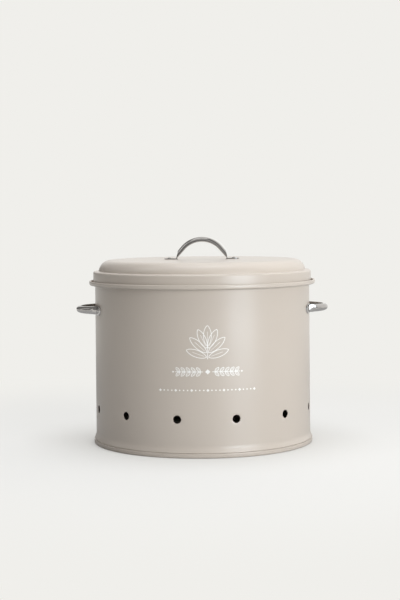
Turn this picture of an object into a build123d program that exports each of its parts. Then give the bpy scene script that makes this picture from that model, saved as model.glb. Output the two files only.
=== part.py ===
from build123d import *
import os
from math import asin, cos, degrees, radians, sin, sqrt, tan

# A round lidded storage bin of powder-coated sheet steel. Millimetres, +Z up, the origin on
# the table under the middle of the base, the front facing -Y and the side handles on X.

# ---------------------------------------------------------------- driving dimensions
# wall: one rolled sheet
body_diameter = 230.0         # outside of the straight wall
wall_sheet = 0.6

# rim: the wall turns out into a shallow gutter that ends in a rolled bead
shelf_height = 168.6          # underside of the flat shelf in the gutter
shelf_width = 2.4             # from the wall's outside to where the gutter starts to rise
gutter_radius = 3.8           # bend from the shelf up to the bead
gutter_steps = 3
bead_radius = 0.85            # rolled edge on top of the gutter
bead_sides = 6

# foot: the wall widens a little just above the seam with the base
flare_height = 11.0           # where the wall starts to widen
flare_out = 1.0

# vent holes near the base
vent_count = 12
vent_diameter = 8.0
vent_height = 38.6
vent_start_angle = 15.0

# base pan, and the seam ring that it rolls round the wall's lower edge
pan_sheet = 0.5
pan_floor_height = 3.6        # underside of the floor
seam_height = 4.7
seam_thickness = 1.2          # rolled outer leg of the seam
seam_bulge = 0.5
seam_play = 0.1               # between the seam's legs and the wall

# lid: one pressed sheet
lid_sheet = 0.6
lid_seat_gap = 0.3            # between the lid's step and the gutter's shelf
lid_band_diameter = 233.8     # upright band of the lid
lid_band_height = 13.8        # from the step up to the ledge
lid_ledge_bevel = 1.2         # eased outer edge of the ledge
lid_dome_rise = 11.7          # from the ledge up to the flat top
lid_shoulder_radius = 13.2
lid_shoulder_reach = 97.8     # distance of the shoulder's centre from the axis
lid_shoulder_steps = 4
neck_clearance = 0.5          # between the lid's neck and the inside of the wall
neck_depth = 9.0              # how far the neck reaches below the step

# three pressed strap handles, all alike but for the curve of their feet
handle_sheet = 1.2
handle_bend_half = 28.0       # from the middle to the bend above a foot
handle_foot_length = 12.3
handle_foot_width = 10.0
handle_end_width = 8.4        # across the half-round arch at its ends
handle_middle_width = 7.0     # and at its middle
handle_edge_height = 1.0      # straight part of the channel's sides, up from its edges
handle_rim_height = 18.8      # underside of the arch's edges above the feet's bends
handle_leg_angle = 48.0       # slope of the straight leg at each end of the arch
handle_middle_depth = 5.2     # of the channel, at the middle of the arch
handle_end_depth = 4.2        # and at its ends
handle_facet_angle = 76.0     # slope of the pressed flat above each foot
handle_arch_steps = 6
handle_channel_sides = 6
handle_seat_gap = 0.05
side_handle_drop = 25.8       # from the shelf down to the middle of the side handles

# rivets, one through each foot
rivet_inset = 5.7             # from the foot's end to the rivet's middle
rivet_shank_diameter = 3.0
rivet_head_diameter = 5.2
rivet_head_height = 1.1
rivet_tail_diameter = 4.8
rivet_tail_height = 0.9       # flared end of the shank, inside the sheet
rivet_crown_share = 0.55      # flat on top of the head, as a share of its width
rivet_play = 0.05             # under the head, over the tail and round the shank

# ---------------------------------------------------------------- worked-out sizes
body_radius = body_diameter / 2
wall_inner_radius = body_radius - wall_sheet
foot_radius = body_radius + flare_out
wall_edge_height = pan_sheet + seam_play
vent_cutter_length = 2 * vent_diameter
gutter_start = body_radius + shelf_width
rim_radius = gutter_start + gutter_radius
bead_height = shelf_height + gutter_radius

pan_leg_radius = foot_radius - wall_sheet - seam_play
seam_inner_radius = foot_radius + seam_play
seam_outer_radius = seam_inner_radius + seam_thickness

lid_band_radius = lid_band_diameter / 2
lid_step_height = shelf_height + wall_sheet + lid_seat_gap
lid_ledge_height = lid_step_height + lid_band_height
lid_top_height = lid_ledge_height + lid_dome_rise
lid_shoulder_centre = lid_top_height - lid_shoulder_radius
lid_shoulder_end = degrees(asin(1 - lid_dome_rise / lid_shoulder_radius))
neck_radius = wall_inner_radius - neck_clearance
neck_end_height = lid_step_height - neck_depth

handle_leg = radians(handle_leg_angle)
handle_rim_radius = (handle_bend_half - handle_rim_height / tan(handle_leg)) / tan(handle_leg / 2)
handle_rim_centre = handle_rim_height - handle_rim_radius
handle_crown_height = handle_rim_height + handle_middle_depth
handle_facet = radians(handle_facet_angle)
foot_round = handle_foot_width / 2
foot_round_reach = handle_bend_half + handle_foot_length - foot_round
rivet_reach = handle_bend_half + handle_foot_length - rivet_inset
rivet_hole_radius = rivet_shank_diameter / 2 + rivet_play
rivet_cutter_length = 2 * (handle_sheet + wall_sheet + lid_sheet)
side_handle_height = shelf_height - side_handle_drop
side_seat_radius = body_radius + handle_seat_gap
side_seat_drop = sqrt(side_seat_radius**2 - handle_bend_half**2)


def bend(centre, radii, span, steps):
    """Points of a round or oval bend over a span of angles, drawn as even flats."""
    start, end = span
    angles = [radians(start + (end - start) * step / steps) for step in range(steps + 1)]
    return [(centre[0] + radii[0] * cos(a), centre[1] + radii[1] * sin(a)) for a in angles]


# ---------------------------------------------------------------- places of the handles
# In a handle's own frame its bends lie on z = 0, the arch rises along z and the feet point
# along x. The rivets' planes lie on top of the feet, with z along each rivet.
flat_foot_planes = [
    Plane(origin=(side * rivet_reach, 0, handle_sheet), z_dir=(0, 0, 1)) for side in (-1, 1)
]

# Side feet follow the wall, whose axis lies side_seat_drop behind the bends.
side_foot_lean = asin(rivet_reach / side_seat_radius)
side_foot_reach = side_seat_radius + handle_sheet
side_foot_planes = [
    Plane(
        origin=(
            side * side_foot_reach * sin(side_foot_lean),
            0,
            side_foot_reach * cos(side_foot_lean) - side_seat_drop,
        ),
        x_dir=(0, 1, 0),
        z_dir=(side * sin(side_foot_lean), 0, cos(side_foot_lean)),
    )
    for side in (-1, 1)
]

lid_handle_place = Plane(origin=(0, 0, lid_top_height + handle_seat_gap))
left_handle_place = Plane(
    origin=(-side_seat_drop, 0, side_handle_height), x_dir=(0, -1, 0), z_dir=(-1, 0, 0)
)
right_handle_place = Plane(
    origin=(side_seat_drop, 0, side_handle_height), x_dir=(0, 1, 0), z_dir=(1, 0, 0)
)

lid_rivets = [lid_handle_place.location * plane.location for plane in flat_foot_planes]
left_rivets = [left_handle_place.location * plane.location for plane in side_foot_planes]
right_rivets = [right_handle_place.location * plane.location for plane in side_foot_planes]

# ---------------------------------------------------------------- wall
# Widened foot, straight wall, shelf, gutter and rolled bead, as one section turned round the
# axis. The vents and the rivet holes are punched through it.
with BuildPart() as body_wall:
    with BuildSketch(Plane.XZ):
        gutter = bend(
            (gutter_start, bead_height), (gutter_radius, gutter_radius), (-90, 0), gutter_steps
        )
        with BuildLine():
            Polyline(
                (foot_radius, wall_edge_height),
                (foot_radius, seam_height),
                (body_radius, flare_height),
                (body_radius, shelf_height),
                *gutter,
            )
            offset(amount=wall_sheet, side=Side.LEFT, kind=Kind.INTERSECTION)
        make_face()
        with Locations((rim_radius - bead_radius, bead_height)):
            RegularPolygon(bead_radius, bead_sides)
    revolve(axis=Axis.Z)
    with Locations((0, 0, vent_height)):
        with PolarLocations(body_radius, vent_count, vent_start_angle):
            Cylinder(
                vent_diameter / 2, vent_cutter_length, rotation=(0, 90, 0), mode=Mode.SUBTRACT
            )
    with Locations(*left_rivets, *right_rivets):
        Cylinder(rivet_hole_radius, rivet_cutter_length, mode=Mode.SUBTRACT)

# ---------------------------------------------------------------- base
# A pressed pan: a floor, a leg down inside the wall, and a thicker leg rolled up round the
# wall's edge into the ring that the bin stands on.
with BuildPart() as base_pan:
    with BuildSketch(Plane.XZ):
        with BuildLine():
            Polyline(
                (0, pan_floor_height),
                (pan_leg_radius - pan_sheet, pan_floor_height),
                (pan_leg_radius - pan_sheet, 0),
                (seam_outer_radius - seam_bulge, 0),
                (seam_outer_radius, seam_height / 2),
                (seam_outer_radius - seam_bulge, seam_height),
                (seam_inner_radius, seam_height),
                (seam_inner_radius, pan_sheet),
                (pan_leg_radius, pan_sheet),
                (pan_leg_radius, pan_floor_height + pan_sheet),
                (0, pan_floor_height + pan_sheet),
                close=True,
            )
        make_face()
    revolve(axis=Axis.Z)

# ---------------------------------------------------------------- lid
# Near-flat top, round shoulder, ledge, upright band, and a step under the band that turns
# down into the neck inside the wall.
with BuildPart() as lid:
    with BuildSketch(Plane.XZ):
        shoulder = bend(
            (lid_shoulder_reach, lid_shoulder_centre),
            (lid_shoulder_radius, lid_shoulder_radius),
            (90, lid_shoulder_end),
            lid_shoulder_steps,
        )
        with BuildLine():
            Polyline(
                (0, lid_top_height),
                *shoulder,
                (lid_band_radius - lid_ledge_bevel, lid_ledge_height),
                (lid_band_radius, lid_ledge_height - lid_ledge_bevel),
                (lid_band_radius, lid_step_height),
                (neck_radius, lid_step_height),
                (neck_radius, neck_end_height),
            )
            offset(amount=lid_sheet, side=Side.RIGHT, kind=Kind.INTERSECTION)
        make_face()
    revolve(axis=Axis.Z)
    with Locations(*lid_rivets):
        Cylinder(rivet_hole_radius, rivet_cutter_length, mode=Mode.SUBTRACT)

# ---------------------------------------------------------------- handles
# The arch is a half-round channel pressed from a strap, on two straight legs. It is shallow and
# wide at its ends, deep and narrow in the middle. The skin and the hollow are the same lofted
# bar, one a sheet inside the other, each cut off by the flat that the press leaves above a foot.
# A station is a place on the arch's rim, and the lean of the section there.
arch_leans = [
    handle_leg * (2 * step / handle_arch_steps - 1) for step in range(handle_arch_steps + 1)
]
rim_stations = [
    (-handle_bend_half, 0, -handle_leg),
    *[
        (handle_rim_radius * sin(lean), handle_rim_centre + handle_rim_radius * cos(lean), lean)
        for lean in arch_leans
    ],
    (handle_bend_half, 0, handle_leg),
]


def arch_bar(inset):
    """A lofted bar along the arch, set in by inset all round."""
    with BuildPart() as bar:
        for reach, rise, lean in rim_stations:
            widening = (handle_end_width - handle_middle_width) * abs(reach) / handle_bend_half
            half_width = (handle_middle_width + widening) / 2 - inset
            deepening = (handle_middle_depth - handle_end_depth) * rise / handle_rim_height
            channel = bend(
                (0, handle_edge_height - inset),
                (half_width, handle_end_depth + deepening - handle_edge_height),
                (0, 180),
                handle_channel_sides,
            )
            section = Plane(
                origin=(reach, 0, rise), x_dir=(0, 1, 0), z_dir=(cos(lean), 0, -sin(lean))
            )
            with BuildSketch(section):
                with BuildLine():
                    Polyline(
                        (half_width, -inset),
                        *channel,
                        (-half_width, -inset),
                        close=True,
                    )
                make_face()
        loft(ruled=True)
        facet_reach = handle_bend_half - inset / sin(handle_facet)
        facet_lean = handle_crown_height / tan(handle_facet)
        with BuildSketch(Plane.XZ):
            with BuildLine():
                Polyline(
                    (facet_reach, 0),
                    (facet_reach - facet_lean, handle_crown_height),
                    (facet_lean - facet_reach, handle_crown_height),
                    (-facet_reach, 0),
                    close=True,
                )
            make_face()
        extrude(amount=handle_foot_width, both=True, mode=Mode.INTERSECT)
    return bar.part


def feet_outline():
    """Plan of the two round-ended feet."""
    with BuildSketch() as outline:
        start = handle_bend_half - handle_sheet
        length = foot_round_reach - start
        middle = (foot_round_reach + start) / 2
        with Locations((-middle, 0), (middle, 0)):
            Rectangle(length, handle_foot_width)
        with Locations((-foot_round_reach, 0), (foot_round_reach, 0)):
            Circle(foot_round)
    return outline.sketch


with BuildPart() as flat_feet:
    add(feet_outline())
    extrude(amount=handle_sheet)

with BuildPart() as side_feet:
    add(feet_outline())
    extrude(amount=handle_crown_height, both=True)
    with BuildSketch(Plane.XZ):
        with Locations((0, -side_seat_drop)):
            Circle(side_foot_reach)
            Circle(side_seat_radius, mode=Mode.SUBTRACT)
    extrude(amount=handle_foot_width, both=True, mode=Mode.INTERSECT)

arch_skin = arch_bar(0)
arch_hollow = arch_bar(handle_sheet)


def strap_handle(feet, foot_planes):
    """Arch and feet in one pressing, with a rivet hole in each foot."""
    with BuildPart() as handle:
        add(arch_skin)
        add(arch_hollow, mode=Mode.SUBTRACT)
        add(feet)
        with Locations(*foot_planes):
            Cylinder(rivet_hole_radius, rivet_cutter_length, mode=Mode.SUBTRACT)
    return handle.part


flat_strap = strap_handle(flat_feet.part, flat_foot_planes)
side_strap = strap_handle(side_feet.part, side_foot_planes)

# ---------------------------------------------------------------- rivets
# Head on the foot, shank through foot and sheet, and a tail flared out inside.
with BuildPart() as rivet:
    with BuildSketch(Plane.XZ):
        head = rivet_head_diameter / 2
        shank = rivet_shank_diameter / 2
        tail = rivet_tail_diameter / 2
        grip = handle_sheet + handle_seat_gap + max(wall_sheet, lid_sheet) + rivet_play
        with BuildLine():
            Polyline(
                (0, rivet_play + rivet_head_height),
                (head * rivet_crown_share, rivet_play + rivet_head_height),
                (head, rivet_play),
                (shank, rivet_play),
                (shank, -grip),
                (tail, -grip - rivet_tail_height),
                (0, -grip - rivet_tail_height),
                close=True,
            )
        make_face()
    revolve(axis=Axis.Z)

# ---------------------------------------------------------------- pieces as built
pieces = {
    "body_wall": body_wall.part,
    "base_pan": base_pan.part,
    "lid": lid.part,
    "lid_handle": lid_handle_place.location * flat_strap,
    "left_handle": left_handle_place.location * side_strap,
    "right_handle": right_handle_place.location * side_strap,
}
for handle_name, places, ends in (
    ("lid_handle", lid_rivets, ("left", "right")),
    ("left_handle", left_rivets, ("rear", "front")),
    ("right_handle", right_rivets, ("front", "rear")),
):
    for place, end in zip(places, ends):
        pieces[f"{handle_name}_{end}_rivet"] = place * rivet.part

os.makedirs("parts", exist_ok=True)
for name, piece in pieces.items():
    piece.label = name
    export_step(piece, f"parts/{name}.step")
    print(name, round(piece.volume, 1), piece.is_valid, len(piece.solids()))
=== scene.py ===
# %% [markdown]
# # A potato storage bin
# A round kitchen bin of thin sheet steel under a warm stone-coloured powder coat. A lid lies
# loose on its rim, three bright strap handles are riveted on, and a ring of vent holes near
# the base lets air in. The CAD parts are loaded first and give every size that matters; the
# finer surfaces of each piece are then modelled around them, in metres.

# %% Load the frame
from math import asin, atan2, cos, degrees, pi, radians, sin, sqrt, tan

import bmesh
import bpy
from mathutils import Matrix, Vector


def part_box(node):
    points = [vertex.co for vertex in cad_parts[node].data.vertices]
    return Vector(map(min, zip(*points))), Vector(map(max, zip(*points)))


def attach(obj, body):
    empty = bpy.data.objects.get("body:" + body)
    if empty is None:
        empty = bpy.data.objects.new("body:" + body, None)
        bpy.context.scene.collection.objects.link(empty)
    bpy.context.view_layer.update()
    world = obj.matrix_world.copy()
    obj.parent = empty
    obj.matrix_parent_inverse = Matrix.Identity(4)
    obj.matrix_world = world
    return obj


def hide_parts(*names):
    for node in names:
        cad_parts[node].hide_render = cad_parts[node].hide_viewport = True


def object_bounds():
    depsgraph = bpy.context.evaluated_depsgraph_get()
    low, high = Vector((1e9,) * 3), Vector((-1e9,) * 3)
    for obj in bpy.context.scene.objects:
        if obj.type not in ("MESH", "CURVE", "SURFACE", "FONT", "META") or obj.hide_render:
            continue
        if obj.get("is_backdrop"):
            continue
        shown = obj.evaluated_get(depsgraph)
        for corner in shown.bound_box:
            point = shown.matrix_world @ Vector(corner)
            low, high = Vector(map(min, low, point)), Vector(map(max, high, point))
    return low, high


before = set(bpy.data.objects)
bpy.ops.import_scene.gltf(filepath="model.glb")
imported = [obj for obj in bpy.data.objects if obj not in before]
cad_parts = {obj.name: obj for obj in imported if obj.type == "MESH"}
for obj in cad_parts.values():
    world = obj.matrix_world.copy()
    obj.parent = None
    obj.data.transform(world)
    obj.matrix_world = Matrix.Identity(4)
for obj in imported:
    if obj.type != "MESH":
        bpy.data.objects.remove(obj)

cad_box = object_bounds()

# %% [markdown]
# ## Sizes read from the frame
# A drawing of sheet metal has few true sizes, and the rest follows from them. The heights
# and radii of the CAD parts come straight from their boxes, so the new pieces can't drift
# from the solids that carry the weight. `MM` lets small sizes be written as a maker says them.

# %% Sizes shared by the pieces
MM = 0.001
SHEET = 0.6 * MM
wall_low, wall_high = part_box("body_wall")
pan_low, pan_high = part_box("base_pan")
lid_low, lid_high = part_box("lid")
handle_low, handle_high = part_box("lid_handle")
RIM_RADIUS = wall_high.x
SEAM_RADIUS = pan_high.x
SEAM_HEIGHT = pan_high.z
LID_TOP = lid_high.z
LID_RADIUS = lid_high.x
WALL_RADIUS = 115.0 * MM
print(f"rim {RIM_RADIUS / MM:.1f} mm, lid top {LID_TOP / MM:.1f} mm")

# %% [markdown]
# ## The camera
# The photograph looks almost level at the bin from about one and a half metres, with the bin
# turned a degree and a half to the left. A long lens keeps the sides of the bin upright. The
# small shift takes the place of the crop: it slides the picture without changing the view.

# %% Place the camera
IMAGE_HEIGHT = 600.0          # pixels
FOCAL_PIXELS = 1392.6
LENS_AXIS = (196.7, 238.0)   # where the lens axis meets the picture, in pixels
TURN, TILT, ROLL = radians(-1.6), radians(1.10), radians(-0.529)

camera_data = bpy.data.cameras.new("camera")
camera_data.sensor_width = 36.0
camera_data.lens = FOCAL_PIXELS * camera_data.sensor_width / IMAGE_HEIGHT
camera_data.shift_x = (200.0 - LENS_AXIS[0]) / IMAGE_HEIGHT
camera_data.shift_y = (LENS_AXIS[1] - 300.0) / IMAGE_HEIGHT
camera = bpy.data.objects.new("camera", camera_data)
bpy.context.scene.collection.objects.link(camera)
turned = Matrix.Rotation(TURN, 4, "Z")
camera.matrix_world = (
    turned
    @ Matrix.Translation((-5.34 * MM, -1.5, 246.65 * MM))
    @ Matrix.Rotation(radians(90.0) - TILT, 4, "X")
    @ Matrix.Rotation(ROLL, 4, "Z")
)
bpy.context.scene.camera = camera
print("camera at", [round(c, 3) for c in camera.matrix_world.translation])

# %% [markdown]
# ## Outlines that spin into sheet metal
# Every round piece of the bin is pressed or rolled, so its section is one thin line with
# rounded corners. The helper draws that line from a few corner points, rounds each corner
# with a vertex bevel to its own radius, and spins it once round the axis. Fewer points than
# that can't hold the shape, and more would only be harder to read.

# %% Draw, round and spin an outline
STEPS = 360


def round_corner(bm, corner, radius, segments):
    """Rounds one corner of a wire outline to a radius."""
    before, after = (edge.other_vert(corner).co - corner.co for edge in corner.link_edges)
    turn = pi - before.angle(after)
    bmesh.ops.bevel(
        bm,
        geom=[corner],
        offset=radius * tan(turn / 2),
        offset_type="OFFSET",
        segments=segments,
        profile=0.5,
        affect="VERTICES",
        material=-1,
    )


def spun_outline(corners, closed=False, segments=8):
    """A bmesh spun from corners given as (radius, height) or (radius, height, rounding)."""
    bm = bmesh.new()
    verts = [bm.verts.new((corner[0], 0.0, corner[1])) for corner in corners]
    for start, end in zip(verts, verts[1:]):
        bm.edges.new((start, end))
    if closed:
        bm.edges.new((verts[-1], verts[0]))
    for vert, corner in zip(verts, corners):
        if len(corner) > 2:
            round_corner(bm, vert, corner[2], segments)
    bmesh.ops.spin(
        bm,
        geom=bm.verts[:] + bm.edges[:],
        cent=(0, 0, 0),
        axis=(0, 0, 1),
        angle=2 * pi,
        steps=STEPS,
        use_merge=True,
    )
    bmesh.ops.remove_doubles(bm, verts=bm.verts[:], dist=0.001 * MM)
    return bm


# %% [markdown]
# ## From a mesh to a finished piece
# A sheet is modelled as its outside skin only. The Solidify modifier then gives it the gauge
# of the steel, and a very small Bevel takes the sharpness off the cut edges, as a coat of
# powder does. Both are applied at once, so the mesh holds exactly what is seen.

# %% Finish a piece
SMOOTH_UNDER = radians(35.0)


def add_piece(name, bm, body, replaced):
    """Turns a bmesh into an object that rides on a body and stands for CAD nodes."""
    mesh = bpy.data.meshes.new(name)
    bm.to_mesh(mesh)
    bm.free()
    piece = bpy.data.objects.new(name, mesh)
    bpy.context.scene.collection.objects.link(piece)
    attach(piece, body)
    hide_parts(*replaced)
    return piece


def thicken(piece, gauge):
    """Gives a skin its thickness on the inside."""
    solidify = piece.modifiers.new("gauge", "SOLIDIFY")
    solidify.thickness = gauge
    solidify.offset = -1.0
    solidify.use_even_offset = True


def soften(piece, width, segments=2):
    """Rounds every sharp edge by a small width."""
    bevel = piece.modifiers.new("edges", "BEVEL")
    bevel.width = width
    bevel.segments = segments
    bevel.limit_method = "ANGLE"
    bevel.angle_limit = radians(40.0)


def apply_and_smooth(piece):
    """Applies the modifiers, then shades the mesh smooth but for its true corners."""
    bpy.context.view_layer.update()
    shown = piece.evaluated_get(bpy.context.evaluated_depsgraph_get())
    mesh = bpy.data.meshes.new_from_object(shown)
    piece.modifiers.clear()
    piece.data = mesh
    mesh.polygons.foreach_set("use_smooth", [True] * len(mesh.polygons))
    mesh.set_sharp_from_angle(angle=SMOOTH_UNDER)
    print(f"{piece.name}: {len(mesh.polygons)} faces")


# %% [markdown]
# ## The wall
# One rolled sheet: it flares a little where it enters the base seam, runs straight up, and
# turns out at the top into a shallow gutter that ends in a rolled bead. The bead is drawn as
# part of the same line, because on the real bin it is the same sheet curled over.

# %% Draw the wall's outline
VENT_COUNT = 12
VENT_RADIUS = 4.25 * MM       # at the rounded outer edge of a punched hole
VENT_HEIGHT = 38.6 * MM
VENT_FIRST = 15               # degrees round from the right-hand side
VENT_ROWS = 4                 # rows of the mesh above and below a vent's middle
ROW = 2.0 * MM
SHELF_HEIGHT = 168.6 * MM
BEAD = 0.85 * MM
GUTTER = 1.7 * MM
FLARE = 1.0 * MM              # how far the wall widens where it enters the seam
LIP = 1.7 * MM                # the same just above the seam, where it overhangs a groove
SEAM_GROOVE = 0.6 * MM


def curl(centre, radius, start, end, steps):
    """Points of an arc in the outline's plane, from one angle to another in degrees."""
    turns = [radians(start + (end - start) * step / steps) for step in range(steps + 1)]
    return [(centre[0] + radius * cos(t), centre[1] + radius * sin(t)) for t in turns]


vent_rows = [
    (WALL_RADIUS, VENT_HEIGHT + row * ROW) for row in range(-VENT_ROWS, VENT_ROWS + 1)
]
bead_centre = (RIM_RADIUS - BEAD, wall_high.z - BEAD)
wall_corners = [
    (WALL_RADIUS + FLARE, wall_low.z),
    (WALL_RADIUS + FLARE, SEAM_HEIGHT),
    (WALL_RADIUS + LIP, SEAM_HEIGHT + SEAM_GROOVE, 0.3 * MM),
    (WALL_RADIUS, 10.5 * MM, 12.0 * MM),
    *vent_rows,
    (WALL_RADIUS, 70.0 * MM),
    (WALL_RADIUS, 100.0 * MM),
    (WALL_RADIUS, 130.0 * MM),
    (WALL_RADIUS, SHELF_HEIGHT, 0.8 * MM),
    (RIM_RADIUS, SHELF_HEIGHT, GUTTER),
    *curl(bead_centre, BEAD, 0, 250, 14),
]
wall_skin = spun_outline(wall_corners)
bmesh.ops.recalc_face_normals(wall_skin, faces=wall_skin.faces[:])

# %% [markdown]
# ## The vents
# The mesh has a square of small faces at each vent. Pulling the rings of that square onto
# circles, fully at the hole and half way one ring further out, gives a clean round hole
# without a cutter: the faces around it stay four-sided, so the wall's long soft highlight
# isn't disturbed. Solidify then lines the hole with the edge of the sheet.

# %% Punch the vents
def ring_place(column, row):
    """Where a vertex of a vent's square goes on a circle, in steps of the mesh."""
    ring = max(abs(column), abs(row))
    if abs(column) >= abs(row):
        turn = pi / 4 * row / column + (pi if column < 0 else 0)
    else:
        turn = pi / 2 - pi / 4 * column / row + (pi if row < 0 else 0)
    share = {2: 1.0, 3: 0.5}.get(ring, 0.0)
    return (
        column + (ring * cos(turn) - column) * share,
        row + (ring * sin(turn) - row) * share,
    )


def punch_vents(bm):
    step = 2 * pi / STEPS
    centres = [radians(VENT_FIRST + 360 * k / VENT_COUNT) for k in range(VENT_COUNT)]
    hole = VENT_RADIUS / (2 * ROW)
    inside = set()
    for vert in bm.verts:
        row = round((vert.co.z - VENT_HEIGHT) / ROW)
        if abs(row) > VENT_ROWS or abs(vert.co.z - VENT_HEIGHT - row * ROW) > 0.1 * MM:
            continue
        angle = atan2(vert.co.y, vert.co.x)
        nearest = min(centres, key=lambda c: abs(atan2(sin(angle - c), cos(angle - c))))
        column = round(atan2(sin(angle - nearest), cos(angle - nearest)) / step)
        if abs(column) > VENT_ROWS:
            continue
        if max(abs(column), abs(row)) <= 2:
            inside.add(vert)
        if max(abs(column), abs(row)) >= 2:
            across, up = ring_place(column, row)
            around = nearest + across * step * hole
            vert.co = (
                WALL_RADIUS * cos(around),
                WALL_RADIUS * sin(around),
                VENT_HEIGHT + up * ROW * hole,
            )
    punched = [face for face in bm.faces if all(v in inside for v in face.verts)]
    bmesh.ops.delete(bm, geom=punched, context="FACES")
    return len(punched)


print("faces punched out:", punch_vents(wall_skin))
wall = add_piece("wall_sheet", wall_skin, "bin", ["body_wall"])
thicken(wall, SHEET)
soften(wall, 0.12 * MM)
apply_and_smooth(wall)

# %% [markdown]
# ## The base pan
# The floor of the bin is a pressed pan. Its edge goes down inside the wall, under it and up
# outside again, and is rolled tight: that ring is what the bin stands on. Here the section
# is a closed outline, because both sides of the pan can be seen.

# %% Make the base pan
PAN_SHEET = 0.5 * MM
FLOOR = pan_high.z - 1.1 * MM
LEG = WALL_RADIUS - 0.3 * MM
pan_corners = [
    (0.0, FLOOR),
    (LEG - 0.6 * MM, FLOOR),
    (LEG - 0.2 * MM, FLOOR - 0.4 * MM),
    (LEG, 0.0, 0.3 * MM),
    (SEAM_RADIUS, 0.0, 1.5 * MM),
    (SEAM_RADIUS, SEAM_HEIGHT, 0.4 * MM),
    (SEAM_RADIUS - 1.2 * MM, SEAM_HEIGHT),
    (SEAM_RADIUS - 1.2 * MM, PAN_SHEET),
    (LEG + PAN_SHEET, PAN_SHEET),
    (LEG + PAN_SHEET, FLOOR + PAN_SHEET),
    (0.0, FLOOR + PAN_SHEET),
]
pan_solid = spun_outline(pan_corners, segments=5)
bmesh.ops.recalc_face_normals(pan_solid, faces=pan_solid.faces[:])
pan = add_piece("base_seam", pan_solid, "bin", ["base_pan"])
apply_and_smooth(pan)

# %% [markdown]
# ## The lid
# A pressed lid: a flat top with a generous round shoulder, a narrow ledge, an upright band
# and, under the band, a step that rests in the gutter and turns down into the neck. The
# neck's end is curled in, as pressings are so that they don't cut.

# %% Make the lid
LEDGE = 183.3 * MM
STEP = 169.5 * MM
NECK_RADIUS = 113.9 * MM
SHOULDER = 12.2 * MM
NECK_CURL = 0.7 * MM
lid_corners = [
    (0.0, LID_TOP),
    (60.0 * MM, LID_TOP),
    (109.6 * MM, LID_TOP, SHOULDER),
    (110.95 * MM, LEDGE, 0.7 * MM),
    (LID_RADIUS, LEDGE, 1.8 * MM),
    (LID_RADIUS, STEP, 0.9 * MM),
    (NECK_RADIUS, STEP, 0.8 * MM),
    *curl((NECK_RADIUS - NECK_CURL, lid_low.z + NECK_CURL), NECK_CURL, 0, -160, 8),
]
lid_skin = spun_outline(lid_corners, segments=10)
bmesh.ops.recalc_face_normals(lid_skin, faces=lid_skin.faces[:])
lid = add_piece("lid_sheet", lid_skin, "lid", ["lid"])
thicken(lid, SHEET)
apply_and_smooth(lid)

# %% [markdown]
# ## The strap handles
# All three handles are one pressing: a strap of bright steel pushed up into a half-round
# channel, deep and narrow at the top of its arch, shallow and wide at its ends, on two
# straight legs. Each leg is cut off by a steep flat that stands on a thin round-ended foot.
# Spin sweeps the channel's section along the arch, and extruding its two ends makes the legs.

# %% Sizes of a strap
STRAP = 1.2 * MM
BEND_HALF = 28.0 * MM         # from the middle of the arch to the bend above a foot
FOOT_LENGTH = 12.3 * MM
FOOT_WIDTH = 10.0 * MM
END_WIDTH, MIDDLE_WIDTH = 8.4 * MM, 7.0 * MM
CHANNEL_EDGE = 1.0 * MM       # straight part of the channel's sides
RIM_RISE = 18.8 * MM          # underside of the arch above the feet
MIDDLE_DEPTH, END_DEPTH = 5.2 * MM, 4.2 * MM
LEG_SLOPE, FLAT_SLOPE = radians(48.0), radians(76.0)
ARCH_STEPS, LEG_STEPS, CHANNEL_STEPS = 48, 12, 20

arch_radius = (BEND_HALF - RIM_RISE / tan(LEG_SLOPE)) / tan(LEG_SLOPE / 2)
arch_centre = Vector((0.0, 0.0, RIM_RISE - arch_radius))
print(f"arch: radius {arch_radius / MM:.1f} mm on legs of {degrees(LEG_SLOPE):.0f} degrees")

# %% [markdown]
# The section is drawn as half a unit circle on two short legs, so that after the sweep each
# vertex still says, by its distance from the rim line, which part of the section it is. That
# makes the taper a matter of scaling the section by its place along the strap.

# %% Sweep the channel
def channel_section(bm):
    """Half a unit circle, in millimetres, on the rim of the arch, with a leg at each side."""
    turns = [pi * step / CHANNEL_STEPS for step in range(CHANNEL_STEPS + 1)]
    points = [(1.0, -0.5)] + [(cos(t), sin(t)) for t in turns] + [(-1.0, -0.5)]
    verts = [bm.verts.new((0.0, y * MM, RIM_RISE + rise * MM)) for y, rise in points]
    for start, end in zip(verts, verts[1:]):
        bm.edges.new((start, end))


def extend_leg(bm, side):
    """Carries the open end on one side straight down to the foot's bend."""
    lean = side * LEG_SLOPE
    start = arch_centre + arch_radius * Vector((sin(lean), 0.0, cos(lean)))
    step = (Vector((side * BEND_HALF, 0.0, 0.0)) - start) / LEG_STEPS
    along = Vector((cos(lean), 0.0, -sin(lean)))
    edges = [
        edge
        for edge in bm.edges
        if all(abs((v.co - start).dot(along)) < 0.001 * MM for v in edge.verts)
    ]
    for _ in range(LEG_STEPS):
        grown = bmesh.ops.extrude_edge_only(bm, edges=edges)["geom"]
        moved = [item for item in grown if isinstance(item, bmesh.types.BMVert)]
        bmesh.ops.translate(bm, verts=moved, vec=step)
        edges = [item for item in grown if isinstance(item, bmesh.types.BMEdge)]
        edges = [edge for edge in edges if all(vert in moved for vert in edge.verts)]


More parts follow.
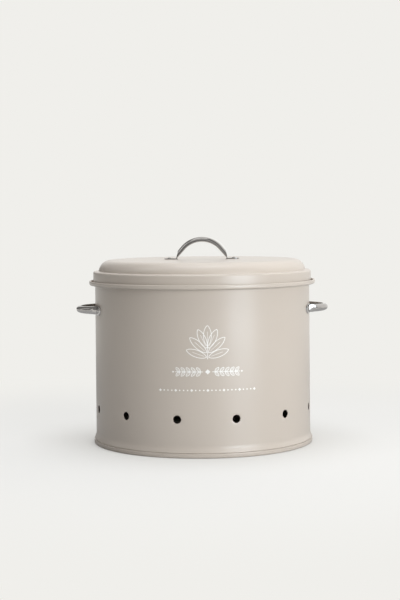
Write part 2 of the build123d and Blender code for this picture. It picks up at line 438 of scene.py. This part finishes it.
def taper_channel(bm):
    """Gives every vertex of the swept section its real width and depth."""
    for vert in bm.verts:
        across = vert.co.y / MM
        out = Vector((vert.co.x, 0.0, vert.co.z)) - arch_centre
        lean = atan2(out.x, out.z)
        if abs(lean) > LEG_SLOPE:
            lean = LEG_SLOPE if lean > 0 else -LEG_SLOPE
        outward = Vector((sin(lean), 0.0, cos(lean)))
        rise = (out.dot(outward) - arch_radius) / MM
        rim = arch_centre + out - outward * rise * MM
        depth = END_DEPTH + (MIDDLE_DEPTH - END_DEPTH) * rim.z / RIM_RISE
        width = MIDDLE_WIDTH + (END_WIDTH - MIDDLE_WIDTH) * abs(rim.x) / BEND_HALF
        height = CHANNEL_EDGE + max(rise, 0.0) * (depth - CHANNEL_EDGE) if rise > -0.25 else 0.0
        vert.co = rim + outward * height
        vert.co.y = across * width / 2


def swept_channel():
    bm = bmesh.new()
    channel_section(bm)
    bmesh.ops.rotate(
        bm, verts=bm.verts[:], cent=arch_centre, matrix=Matrix.Rotation(-LEG_SLOPE, 3, "Y")
    )
    bmesh.ops.spin(
        bm,
        geom=bm.verts[:] + bm.edges[:],
        cent=arch_centre,
        axis=(0, 1, 0),
        angle=2 * LEG_SLOPE,
        steps=ARCH_STEPS,
    )
    for side in (-1, 1):
        extend_leg(bm, side)
    taper_channel(bm)
    return bm


# %% [markdown]
# A steep plane that leans in cuts each end of the channel, and the cut is closed with one
# flat face: the bright spade-shaped facet above each foot.

# %% Cut the flats
def cut_flats(bm):
    for side in (-1, 1):
        cut = bmesh.ops.bisect_plane(
            bm,
            geom=bm.verts[:] + bm.edges[:] + bm.faces[:],
            dist=0.0005 * MM,
            plane_co=(side * BEND_HALF, 0, 0),
            plane_no=(side * sin(FLAT_SLOPE), 0, cos(FLAT_SLOPE)),
            clear_outer=True,
        )
        edges = [item for item in cut["geom_cut"] if isinstance(item, bmesh.types.BMEdge)]
        bmesh.ops.contextual_create(bm, geom=edges)
    bmesh.ops.recalc_face_normals(bm, faces=bm.faces[:])


# %% [markdown]
# The feet are flat plates with a round end. On the wall they follow its curve, so a plate is
# first cut into narrow strips across its length and each strip's edge is then let down onto
# the wall's radius.

# %% Lay the feet
FOOT_ROUND = FOOT_WIDTH / 2
FOOT_REACH = BEND_HALF + FOOT_LENGTH
SEAT_RADIUS = WALL_RADIUS + 0.05 * MM
SEAT_DROP = sqrt(SEAT_RADIUS**2 - BEND_HALF**2)


def add_foot(bm, follows_wall):
    """One foot on the +X side, standing on z = 0, with its round end away from the arch."""
    foot = bmesh.new()
    start, middle = BEND_HALF - STRAP, FOOT_REACH - FOOT_ROUND
    bmesh.ops.create_circle(foot, cap_ends=True, segments=48, radius=FOOT_ROUND)
    bmesh.ops.translate(foot, verts=foot.verts[:], vec=(middle, 0, 0))
    half = bmesh.ops.bisect_plane(
        foot,
        geom=foot.verts[:] + foot.edges[:] + foot.faces[:],
        plane_co=(middle, 0, 0),
        plane_no=(1, 0, 0),
        clear_inner=True,
    )
    straight = [item for item in half["geom_cut"] if isinstance(item, bmesh.types.BMEdge)]
    grown = bmesh.ops.extrude_edge_only(foot, edges=straight)["geom"]
    moved = [item for item in grown if isinstance(item, bmesh.types.BMVert)]
    bmesh.ops.translate(foot, verts=moved, vec=(start - middle, 0, 0))
    cut_strips(foot, start, FOOT_REACH, 10)
    raised = bmesh.ops.extrude_face_region(foot, geom=foot.faces[:])["geom"]
    top = [item for item in raised if isinstance(item, bmesh.types.BMVert)]
    bmesh.ops.translate(foot, verts=top, vec=(0, 0, STRAP))
    if follows_wall:
        for vert in foot.verts:
            vert.co.z += sqrt(SEAT_RADIUS**2 - vert.co.x**2) - SEAT_DROP
    bmesh.ops.recalc_face_normals(foot, faces=foot.faces[:])
    join(bm, foot)


def cut_strips(bm, start, end, count):
    """Divides a flat plate across X, so that it can bend."""
    for step in range(1, count):
        bmesh.ops.bisect_plane(
            bm,
            geom=bm.verts[:] + bm.edges[:] + bm.faces[:],
            plane_co=(start + (end - start) * step / count, 0, 0),
            plane_no=(1, 0, 0),
        )


def join(bm, other):
    """Adds another bmesh to this one."""
    mesh = bpy.data.meshes.new("joined")
    other.to_mesh(mesh)
    other.free()
    bm.from_mesh(mesh)
    bpy.data.meshes.remove(mesh)


# %% [markdown]
# The arch gets its gauge first, from Solidify. The feet are already solid, so they join it
# afterwards, one made and the other its mirror image. The finished strap is then carried to
# its place by a matrix whose columns are its own three directions and its origin.

# %% Build and place the three straps
def strap_mesh(follows_wall):
    """A whole strap in its own frame, as a mesh."""
    arch = swept_channel()
    cut_flats(arch)
    skin = bpy.data.meshes.new("arch")
    arch.to_mesh(skin)
    arch.free()
    holder = bpy.data.objects.new("arch", skin)
    bpy.context.scene.collection.objects.link(holder)
    thicken(holder, STRAP)
    bpy.context.view_layer.update()
    solid = holder.evaluated_get(bpy.context.evaluated_depsgraph_get())
    bm = bmesh.new()
    bm.from_mesh(solid.data)
    bpy.data.objects.remove(holder)
    feet = bmesh.new()
    add_foot(feet, follows_wall)
    other = feet.copy()
    bmesh.ops.rotate(other, verts=other.verts[:], cent=(0, 0, 0), matrix=Matrix.Rotation(pi, 3, "Z"))
    join(feet, other)
    join(bm, feet)
    return bm


def frame_matrix(x_axis, y_axis, z_axis, origin):
    columns = [(*Vector(v), 0.0) for v in (x_axis, y_axis, z_axis)] + [(*Vector(origin), 1.0)]
    return Matrix(columns).transposed()


side_low, side_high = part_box("right_handle")
SIDE_HEIGHT = (side_low.z + side_high.z) / 2
STRAPS = {
    "lid_handle": (
        "lid",
        frame_matrix((1, 0, 0), (0, 1, 0), (0, 0, 1), (0, 0, handle_low.z)),
    ),
    "left_handle": (
        "bin",
        frame_matrix((0, -1, 0), (0, 0, 1), (-1, 0, 0), (-SEAT_DROP, 0, SIDE_HEIGHT)),
    ),
    "right_handle": (
        "bin",
        frame_matrix((0, 1, 0), (0, 0, 1), (1, 0, 0), (SEAT_DROP, 0, SIDE_HEIGHT)),
    ),
}
straps = []
for node, (body, place) in STRAPS.items():
    strap = strap_mesh(follows_wall=body == "bin")
    bmesh.ops.transform(strap, matrix=place, verts=strap.verts[:])
    piece = add_piece(node + "_strap", strap, body, [node])
    soften(piece, 0.3 * MM)
    apply_and_smooth(piece)
    straps.append(piece)

# %% [markdown]
# ## The rivets
# A rivet goes through each foot: a low domed head outside, a shank, and a flared tail inside.
# Spinning half of the section makes one in a single step. Each takes its place from the same
# sizes as its foot, so a side rivet leans with the wall.

# %% Set the rivets
RIVET_REACH = FOOT_REACH - 5.7 * MM
HEAD_RADIUS, HEAD_HEIGHT = 2.6 * MM, 1.1 * MM
SHANK_RADIUS, TAIL_RADIUS = 1.5 * MM, 2.4 * MM
GRIP = STRAP + SHEET + 0.1 * MM
TAIL_HEIGHT = 0.9 * MM


def rivet_mesh():
    """A rivet whose head sits on z = 0."""
    bm = bmesh.new()
    dome_radius = (HEAD_RADIUS**2 + HEAD_HEIGHT**2) / (2 * HEAD_HEIGHT)
    dome_half = degrees(asin(HEAD_RADIUS / dome_radius))
    centre = (0.0, HEAD_HEIGHT - dome_radius)
    points = curl(centre, dome_radius, 90, 90 - dome_half, 8) + [
        (SHANK_RADIUS, 0.0),
        (SHANK_RADIUS, -GRIP),
        (TAIL_RADIUS, -GRIP - TAIL_HEIGHT),
        (0.0, -GRIP - TAIL_HEIGHT),
    ]
    verts = [bm.verts.new((x, 0.0, z)) for x, z in points]
    for start, end in zip(verts, verts[1:]):
        bm.edges.new((start, end))
    bmesh.ops.spin(
        bm,
        geom=bm.verts[:] + bm.edges[:],
        cent=(0, 0, 0),
        axis=(0, 0, 1),
        angle=2 * pi,
        steps=40,
        use_merge=True,
    )
    bmesh.ops.remove_doubles(bm, verts=bm.verts[:], dist=0.001 * MM)
    bmesh.ops.recalc_face_normals(bm, faces=bm.faces[:])
    return bm


def rivet_places(follows_wall):
    """Where the two rivets of a strap go, in its own frame."""
    for side in (-1, 1):
        lean = asin(RIVET_REACH / SEAT_RADIUS) if follows_wall else 0.0
        out = SEAT_RADIUS + STRAP
        if follows_wall:
            spot = Vector((side * out * sin(lean), 0, out * cos(lean) - SEAT_DROP))
        else:
            spot = Vector((side * RIVET_REACH, 0, STRAP))
        yield Matrix.Translation(spot) @ Matrix.Rotation(side * lean, 4, "Y")


RIVET_ENDS = {
    "lid_handle": ("left", "right"),
    "left_handle": ("rear", "front"),
    "right_handle": ("front", "rear"),
}
rivets = []
for node, (body, place) in STRAPS.items():
    for end, spot in zip(RIVET_ENDS[node], rivet_places(body == "bin")):
        rivet = rivet_mesh()
        bmesh.ops.transform(rivet, matrix=place @ spot, verts=rivet.verts[:])
        name = f"{node}_{end}_rivet"
        piece = add_piece(name + "_head", rivet, body, [name])
        apply_and_smooth(piece)
        rivets.append(piece)

# %% [markdown]
# ## A plain printed ornament
# The front carries a print in thin off-white lines. It is drawn here as a plain sprig of
# leaves over a small garland and a dotted rule. Each shape starts as a flat circle, is given
# its outline, and an inset leaves only the line round it. The flat drawing is then wrapped
# round the wall, a hair above the coating.

# %% Draw with lines
LINE = 0.65 * MM
PRINT_TURN = radians(0.6)     # how far the print's middle is turned to the right
PRINT_LIFT = 0.05 * MM


def stand(bm, verts, place, turn, size=(1.0, 1.0)):
    """Scales, turns and moves part of the flat drawing, whose plane is XZ."""
    matrix = (
        Matrix.Translation((place[0], 0, place[1]))
        @ Matrix.Rotation(-turn, 4, "Y")
        @ Matrix.Diagonal((size[0], 1.0, size[1], 1.0))
    )
    bmesh.ops.transform(bm, matrix=matrix, verts=verts)


def flat_circle(bm, segments):
    """A filled unit circle in the drawing's plane."""
    made = bmesh.ops.create_circle(bm, cap_ends=True, segments=segments, radius=1.0)["verts"]
    bmesh.ops.rotate(bm, verts=made, cent=(0, 0, 0), matrix=Matrix.Rotation(pi / 2, 3, "X"))
    return made


def leaf(bm, root, length, width, turn):
    """The outline of a pointed leaf that grows from root, and the line down its middle."""
    verts = flat_circle(bm, 40)
    for vert in verts:
        across = vert.co.z
        vert.co.z = across * abs(across) ** 0.35
    stand(bm, verts, (length / 2, 0.0), 0.0, (length / 2, width / 2))
    face = verts[0].link_faces[0]
    ring = bmesh.ops.inset_individual(bm, faces=[face], thickness=LINE, use_even_offset=True)
    bmesh.ops.delete(bm, geom=[face], context="FACES_ONLY")
    placed = list({v for f in ring["faces"] for v in f.verts} | set(verts))
    placed += stroke(bm, (length * 0.12, 0.0), (length * 0.7, 0.0), LINE * 0.6)
    stand(bm, placed, root, turn)


def stroke(bm, start, end, width):
    """A straight line with square ends, cut up so that it can bend round the wall."""
    verts = bmesh.ops.create_grid(bm, x_segments=8, y_segments=1, size=1.0)["verts"]
    bmesh.ops.rotate(bm, verts=verts, cent=(0, 0, 0), matrix=Matrix.Rotation(pi / 2, 3, "X"))
    along = Vector(end) - Vector(start)
    middle = (Vector(end) + Vector(start)) / 2
    turn = atan2(along.y, along.x)
    stand(bm, verts, middle, turn, (along.length / 2, width / 2))
    return verts


def dot(bm, place, size, segments=24, turn=0.0):
    """A filled dot, or a lozenge when it has four corners."""
    stand(bm, flat_circle(bm, segments), place, turn, (size, size))


# %% [markdown]
# The sprig has a short upright stem and three pairs of leaves that open like a fan. Below it
# a garland of small leaf pairs runs out from a lozenge, and a row of dots closes the print.
# Loops place what repeats, and each size is named in millimetres by the loop that uses it.

# %% Compose the ornament
def draw_sprig(bm):
    base = 99.0 * MM
    stroke(bm, (0.0, base), (0.0, base + 13.0 * MM), LINE)
    leaf(bm, (0.0, base + 13.0 * MM), 21.0 * MM, 8.5 * MM, pi / 2)
    for rise, length, lean in ((2.0, 22.0, 20.0), (6.5, 23.0, 42.0), (11.0, 21.0, 65.0)):
        for side in (-1, 1):
            turn = radians(90.0 - side * (90.0 - lean))
            root = (side * 0.8 * MM, base + rise * MM)
            leaf(bm, root, length * MM, 7.6 * MM, turn)


def draw_garland(bm):
    height = 86.5 * MM
    dot(bm, (0.0, height), 2.6 * MM, 4)
    for side in (-1, 1):
        stroke(bm, (side * 4.5 * MM, height), (side * 33.0 * MM, height), LINE)
        for k in range(5):
            root = (side * (7.0 + 5.2 * k) * MM, height)
            for up in (-1, 1):
                turn = radians(90.0 - side * 45.0) * up
                leaf(bm, root, 6.2 * MM, 3.2 * MM, turn)
        dot(bm, (side * 35.0 * MM, height), 1.1 * MM, 4)


def draw_dots(bm):
    height = 68.0 * MM
    for k in range(-12, 13):
        large = k % 4 == 0
        dot(bm, (k * 4.05 * MM, height), (1.5 if large else 0.75) * MM, 4 if large else 20)


def wrap_print(bm):
    """Bends the flat drawing round the wall."""
    radius = WALL_RADIUS + PRINT_LIFT
    for vert in bm.verts:
        turn = PRINT_TURN + vert.co.x / radius
        vert.co = (radius * sin(turn), -radius * cos(turn), vert.co.z)


drawing = bmesh.new()
draw_sprig(drawing)
draw_garland(drawing)
draw_dots(drawing)
wrap_print(drawing)
for face in drawing.faces:
    face.normal_update()
    if face.normal.dot(Vector((face.calc_center_median().x, face.calc_center_median().y, 0))) < 0:
        face.normal_flip()
ornament = add_piece("printed_ornament", drawing, "bin", [])
thicken(ornament, 0.03 * MM)
apply_and_smooth(ornament)

# %% [markdown]
# ## Materials
# Powder coat is a satin, faintly pebbled skin. The pebbling is fine noise for a Bump node, a
# broad cloud moves the colour and the roughness a little, and sparse scuffs are where cloths
# and cupboard shelves have rubbed it. Both the coating and the print use these three, so they
# are a node group that puts out plain values.

# %% Build the pebbling group
def node(tree, kind, **inputs):
    """Adds a node and sets its named inputs."""
    made = tree.nodes.new(kind)
    for name, value in inputs.items():
        made.inputs[name.replace("_", " ")].default_value = value
    return made


def link(tree, *pairs):
    """Links outputs to inputs, given as (node, output, node, input)."""
    for source, output, target, entry in pairs:
        tree.links.new(source.outputs[output], target.inputs[entry])


def make_pebble_group():
    group = bpy.data.node_groups.new("powder pebble", "ShaderNodeTree")
    group.interface.new_socket("Grain Size", in_out="INPUT", socket_type="NodeSocketFloat")
    group.interface.new_socket("Pebble", in_out="OUTPUT", socket_type="NodeSocketFloat")
    group.interface.new_socket("Cloud", in_out="OUTPUT", socket_type="NodeSocketFloat")
    group.interface.new_socket("Scuff", in_out="OUTPUT", socket_type="NodeSocketFloat")
    entry = group.nodes.new("NodeGroupInput")
    leave = group.nodes.new("NodeGroupOutput")
    place = group.nodes.new("ShaderNodeTexCoord")
    fine = node(group, "ShaderNodeTexNoise", Detail=3.0, Roughness=0.55)
    broad = node(group, "ShaderNodeTexNoise", Scale=22.0, Detail=2.0, Roughness=0.5)
    rubbed = node(group, "ShaderNodeTexNoise", Scale=48.0, Detail=7.0, Roughness=0.7, Distortion=0.6)
    sparse = node(group, "ShaderNodeMapRange", From_Min=0.6, From_Max=0.78)
    link(
        group,
        (place, "Object", fine, "Vector"),
        (entry, "Grain Size", fine, "Scale"),
        (fine, "Fac", leave, "Pebble"),
        (place, "Object", broad, "Vector"),
        (broad, "Fac", leave, "Cloud"),
        (place, "Object", rubbed, "Vector"),
        (rubbed, "Fac", sparse, "Value"),
        (sparse, "Result", leave, "Scuff"),
    )
    return group


pebble_group = make_pebble_group()

# %% [markdown]
# ## The stone-coloured coating
# A warm grey stone colour. The clouding shifts it by a few percent, scuffs are a little duller
# than the rest, and the roughness is low enough for the broad soft sheen that runs down the
# front of the bin, yet too high for any clear reflection.

# %% Make the coating and the print's ink
def new_material(name):
    material = bpy.data.materials.new(name)
    material.use_nodes = True
    tree = material.node_tree
    return material, tree, tree.nodes["Principled BSDF"]


def coating(name, pale, deep, roughness, pebble_height, grain):
    """A satin coat whose colour wanders between two tones."""
    material, tree, shader = new_material(name)
    pebble = tree.nodes.new("ShaderNodeGroup")
    pebble.node_tree = pebble_group
    pebble.inputs["Grain Size"].default_value = grain
    tone = tree.nodes.new("ShaderNodeMix")
    tone.data_type = "RGBA"
    tone.inputs["A"].default_value = (*deep, 1.0)
    tone.inputs["B"].default_value = (*pale, 1.0)
    gloss = tree.nodes.new("ShaderNodeMapRange")
    gloss.inputs["To Min"].default_value = roughness - 0.05
    gloss.inputs["To Max"].default_value = roughness + 0.05
    worn = tree.nodes.new("ShaderNodeMath")
    worn.operation = "MULTIPLY_ADD"
    worn.inputs[1].default_value = 0.1       # how much a scuff adds to the roughness
    bump = node(tree, "ShaderNodeBump", Strength=0.4, Distance=pebble_height)
    link(
        tree,
        (pebble, "Cloud", tone, "Factor"),
        (tone, "Result", shader, "Base Color"),
        (pebble, "Cloud", gloss, "Value"),
        (pebble, "Scuff", worn, 0),
        (gloss, "Result", worn, 2),
        (worn, 0, shader, "Roughness"),
        (pebble, "Pebble", bump, "Height"),
        (bump, "Normal", shader, "Normal"),
    )
    shader.inputs["Specular IOR Level"].default_value = 0.75
    return material


stone = coating(
    "stone powder coat", (0.51, 0.449, 0.39), (0.495, 0.434, 0.375), 0.30, 0.02 * MM, 900.0
)
ink = coating("white print", (0.86, 0.85, 0.82), (0.82, 0.81, 0.78), 0.5, 0.02 * MM, 1200.0)
for piece in (wall, pan, lid):
    piece.data.materials.append(stone)
ornament.data.materials.append(ink)

# %% [markdown]
# ## Bright pressed steel
# The straps are bare bright steel. Their finish is a mirror with the fine lines of the
# rolling mill in it and the odd soft smear, so its reflections are drawn out rather than
# blurred. Noise that is stretched along a strap makes the lines. Straps lie along different
# axes, so the stretch is the input of a node group that both steels share.

# %% Build the mill finish group
def make_mill_group():
    group = bpy.data.node_groups.new("mill finish", "ShaderNodeTree")
    group.interface.new_socket("Stretch", in_out="INPUT", socket_type="NodeSocketVector")
    group.interface.new_socket("Lines", in_out="OUTPUT", socket_type="NodeSocketFloat")
    group.interface.new_socket("Smear", in_out="OUTPUT", socket_type="NodeSocketFloat")
    entry = group.nodes.new("NodeGroupInput")
    leave = group.nodes.new("NodeGroupOutput")
    place = group.nodes.new("ShaderNodeTexCoord")
    stretched = group.nodes.new("ShaderNodeVectorMath")
    stretched.operation = "MULTIPLY"
    lines = node(group, "ShaderNodeTexNoise", Scale=1.0, Detail=4.0, Roughness=0.6)
    smear = node(group, "ShaderNodeTexNoise", Scale=180.0, Detail=3.0)
    link(
        group,
        (place, "Object", stretched, 0),
        (entry, "Stretch", stretched, 1),
        (stretched, "Vector", lines, "Vector"),
        (lines, "Fac", leave, "Lines"),
        (place, "Object", smear, "Vector"),
        (smear, "Fac", leave, "Smear"),
    )
    return group


mill_group = make_mill_group()

# %% [markdown]
# The smears dull the mirror and take a little of its brightness, as finger marks do. The lines
# are only in the bump, because a line that changed the colour would look printed on.

# %% Make the steel
def steel(name, clean, marked, roughness, stretch):
    """Bright steel whose mill lines run along the axis with the smallest stretch."""
    material, tree, shader = new_material(name)
    mill = tree.nodes.new("ShaderNodeGroup")
    mill.node_tree = mill_group
    mill.inputs["Stretch"].default_value = stretch
    tone = tree.nodes.new("ShaderNodeMix")
    tone.data_type = "RGBA"
    tone.inputs["A"].default_value = (*clean, 1.0)
    tone.inputs["B"].default_value = (*marked, 1.0)
    gloss = node(tree, "ShaderNodeMapRange", From_Min=0.35, From_Max=0.7)
    gloss.inputs["To Min"].default_value = roughness - 0.05
    gloss.inputs["To Max"].default_value = roughness + 0.08
    bump = node(tree, "ShaderNodeBump", Strength=0.1, Distance=0.01 * MM)
    link(
        tree,
        (mill, "Smear", tone, "Factor"),
        (tone, "Result", shader, "Base Color"),
        (mill, "Smear", gloss, "Value"),
        (gloss, "Result", shader, "Roughness"),
        (mill, "Lines", bump, "Height"),
        (bump, "Normal", shader, "Normal"),
    )
    shader.inputs["Metallic"].default_value = 1.0
    return material


CLEAN, MARKED = (0.60, 0.58, 0.565), (0.52, 0.50, 0.485)
strap_steel = steel("bright pressed steel", CLEAN, MARKED, 0.10, (150.0, 3000.0, 3000.0))
side_steel = steel("bright pressed steel side", CLEAN, MARKED, 0.10, (3000.0, 150.0, 3000.0))
for piece, finish in zip(straps, (strap_steel, side_steel, side_steel)):
    piece.data.materials.append(finish)
for piece in rivets:
    piece.data.materials.append(strap_steel)

# %% [markdown]
# ## The studio
# The photograph has one pale tone from floor to backdrop. Here the floor is a wide disc of
# pale paper that takes the bin's soft shadow and, with distance, turns into the plain tone of
# the world behind it, so no horizon shows. A bright room also lightens shadows, so part of the
# plain tone is laid over the shadow, and least of it where bin and paper touch.
#
# Gloss that grazes the bin's edges should find the pale backdrop, and gloss that looks down
# beside its foot should find shaded paper. So reflections have their own, wider fade.

# %% Lay the floor
PALE = (0.871, 0.863, 0.831, 1.0)      # the backdrop's tone, linear
PAPER = (0.68, 0.665, 0.64, 1.0)
PAPER_BOUNCE = (0.42, 0.415, 0.405, 1.0)  # what it gives back to the bin, as light or gloss
FLOOR_REACH = 1.5                      # metres from the axis at which every fade is over
LOOKED_FADE = ((0.117, 0.25), (0.125, 0.45), (0.20, 0.45), (0.60, 1.0))
MIRRORED_FADE = ((0.50, 0.0), (1.50, 1.0))


def ramp(tree, stops, reach=1.0, tint=(1.0, 1.0, 1.0)):
    """A colour ramp through (position, tone) stops, positions being shares of a reach."""
    made = tree.nodes.new("ShaderNodeValToRGB")
    made.color_ramp.interpolation = "EASE"
    while len(made.color_ramp.elements) < len(stops):
        made.color_ramp.elements.new(0.5)
    for element, (position, tone) in zip(made.color_ramp.elements, stops):
        element.position = position / reach
        element.color = (*(tone * part for part in tint), 1.0)
    return made


def plain_share(tree, place, seen, stops):
    """How plain the floor is for one kind of ray, by its distance from the bin's axis."""
    far = tree.nodes.new("ShaderNodeVectorMath")
    far.operation = "LENGTH"
    scaled = tree.nodes.new("ShaderNodeMath")
    scaled.operation = "DIVIDE"
    scaled.inputs[1].default_value = FLOOR_REACH
    fade = ramp(tree, stops, FLOOR_REACH)
    share = tree.nodes.new("ShaderNodeMath")
    share.operation = "MULTIPLY"
    link(
        tree,
        (place, "Object", far, 0),
        (far, "Value", scaled, 0),
        (scaled, 0, fade, "Fac"),
        (fade, "Color", share, 0),
        (*seen, share, 1),
    )
    return share


def make_paper():
    paper = bpy.data.materials.new("pale paper")
    paper.use_nodes = True
    tree = paper.node_tree
    shader = tree.nodes["Principled BSDF"]
    shader.inputs["Roughness"].default_value = 0.9
    shader.inputs["Specular IOR Level"].default_value = 0.1
    path = tree.nodes.new("ShaderNodeLightPath")
    look = tree.nodes.new("ShaderNodeMath")
    look.operation = "MAXIMUM"
    tone = tree.nodes.new("ShaderNodeMix")
    tone.data_type = "RGBA"
    tone.inputs["A"].default_value = PAPER_BOUNCE
    tone.inputs["B"].default_value = PAPER
    plain = tree.nodes.new("ShaderNodeEmission")
    plain.inputs["Color"].default_value = PALE
    place = tree.nodes.new("ShaderNodeTexCoord")
    looked = plain_share(tree, place, (look, 0), LOOKED_FADE)
    mirrored = plain_share(tree, place, (path, "Is Glossy Ray"), MIRRORED_FADE)
    share = tree.nodes.new("ShaderNodeMath")
    mixed = tree.nodes.new("ShaderNodeMixShader")
    link(
        tree,
        (path, "Is Camera Ray", look, 0),
        (path, "Is Transmission Ray", look, 1),
        (look, 0, tone, "Factor"),
        (tone, "Result", shader, "Base Color"),
        (looked, 0, share, 0),
        (mirrored, 0, share, 1),
        (share, 0, mixed, "Fac"),
        (shader, "BSDF", mixed, 1),
        (plain, "Emission", mixed, 2),
        (mixed, "Shader", tree.nodes["Material Output"], "Surface"),
    )
    return paper


ground = bmesh.new()
bmesh.ops.create_circle(ground, cap_ends=True, segments=96, radius=6.0)
ground_mesh = bpy.data.meshes.new("floor")
ground.to_mesh(ground_mesh)
ground.free()
floor = bpy.data.objects.new("floor", ground_mesh)
bpy.context.scene.collection.objects.link(floor)
floor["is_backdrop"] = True
ground_mesh.materials.append(make_paper())

# %% [markdown]
# ## The room round the bin
# Gloss and metal show the room they stand in. It is pale behind the bin, dark overhead and in
# front, where the studio is unlit, with one paler wall in front and to the left. The world's
# tone therefore follows one direction. The camera itself sees only the plain pale tone.

# %% Tone the room
ROOM_PULL = (0.6, 0.7, 0.35)           # towards the right, the back and a little up
ROOM_TONES = (
    (0.0, 0.22), (0.27, 0.22), (0.33, 0.8), (0.40, 0.30), (0.56, 0.24), (0.66, 0.10),
    (0.74, 0.22), (0.80, 0.7), (0.88, 0.9),
)


def make_room():
    world = bpy.data.worlds.new("studio")
    world.use_nodes = True
    bpy.context.scene.world = world
    tree = world.node_tree
    place = tree.nodes.new("ShaderNodeTexCoord")
    pull = tree.nodes.new("ShaderNodeVectorMath")
    pull.operation = "DOT_PRODUCT"
    pull.inputs[1].default_value = ROOM_PULL
    spread = tree.nodes.new("ShaderNodeMapRange")
    spread.inputs["From Min"].default_value = -1.0
    tones = ramp(tree, ROOM_TONES, tint=(1.0, 0.993, 0.965))
    tones.color_ramp.interpolation = "LINEAR"
    room = tree.nodes["Background"]
    plain = tree.nodes.new("ShaderNodeBackground")
    plain.inputs["Color"].default_value = PALE
    path = tree.nodes.new("ShaderNodeLightPath")
    mixed = tree.nodes.new("ShaderNodeMixShader")
    link(
        tree,
        (place, "Generated", pull, 0),
        (pull, "Value", spread, "Value"),
        (spread, "Result", tones, "Fac"),
        (tones, "Color", room, "Color"),
        (path, "Is Camera Ray", mixed, "Fac"),
        (room, "Background", mixed, 1),
        (plain, "Background", mixed, 2),
        (mixed, "Shader", tree.nodes["World Output"], "Surface"),
    )


make_room()

# %% [markdown]
# ## The lamps
# A wide soft box in front and to the right lights the wall, and one overhead keeps the lid
# light. Both are left out of reflections, where they would be too bright. Three weaker boxes
# are there mainly to be reflected: a cool one draws the sheen down the wall, one on the left
# edges the steel, and one overhead brightens the tops of beads and handles. The camera sees
# none of them.

# %% Hang the lamps
def soft_box(name, place, target, size, watts, gloss=True, colour=(1.0, 1.0, 1.0)):
    lamp_data = bpy.data.lights.new(name, "AREA")
    lamp_data.color = colour
    lamp_data.shape = "RECTANGLE"
    lamp_data.size, lamp_data.size_y = size
    lamp_data.energy = watts
    lamp = bpy.data.objects.new(name, lamp_data)
    bpy.context.scene.collection.objects.link(lamp)
    aim = (Vector(target) - Vector(place)).to_track_quat("-Z", "Y")
    lamp.matrix_world = Matrix.Translation(place) @ aim.to_matrix().to_4x4()
    lamp.visible_camera = False
    lamp.visible_glossy = gloss
    return lamp


COOL, FAINTLY_COOL = (0.76, 0.89, 1.0), (0.88, 0.93, 1.0)
soft_box("key box", (1.08, -1.45, 0.38), (0, 0, 0.12), (1.3, 1.0), 24.5, gloss=False)
soft_box("strip box", (0.95, -1.22, 0.18), (0, 0, 0.12), (0.75, 0.6), 6.4, colour=COOL)
soft_box("left strip", (-1.1, -0.3, 1.15), (0, 0, 0.2), (0.25, 0.8), 0.9)
soft_box(
    "top box", (0.03, 0.0, 1.95), (0, 0, 0.15), (1.4, 1.4), 30.0, gloss=False, colour=FAINTLY_COOL
)
soft_box("sky box", (-0.1, -0.3, 2.0), (0, 0, 0.2), (1.2, 1.2), 3.6)

bpy.context.scene.view_settings.view_transform = "Standard"

# %% Write the sizes and finish
full_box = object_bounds()
for name, (low, high) in zip(("cad", "scene"), (cad_box, full_box)):
    print(name, [round(v / MM, 1) for v in (*low, *high)])
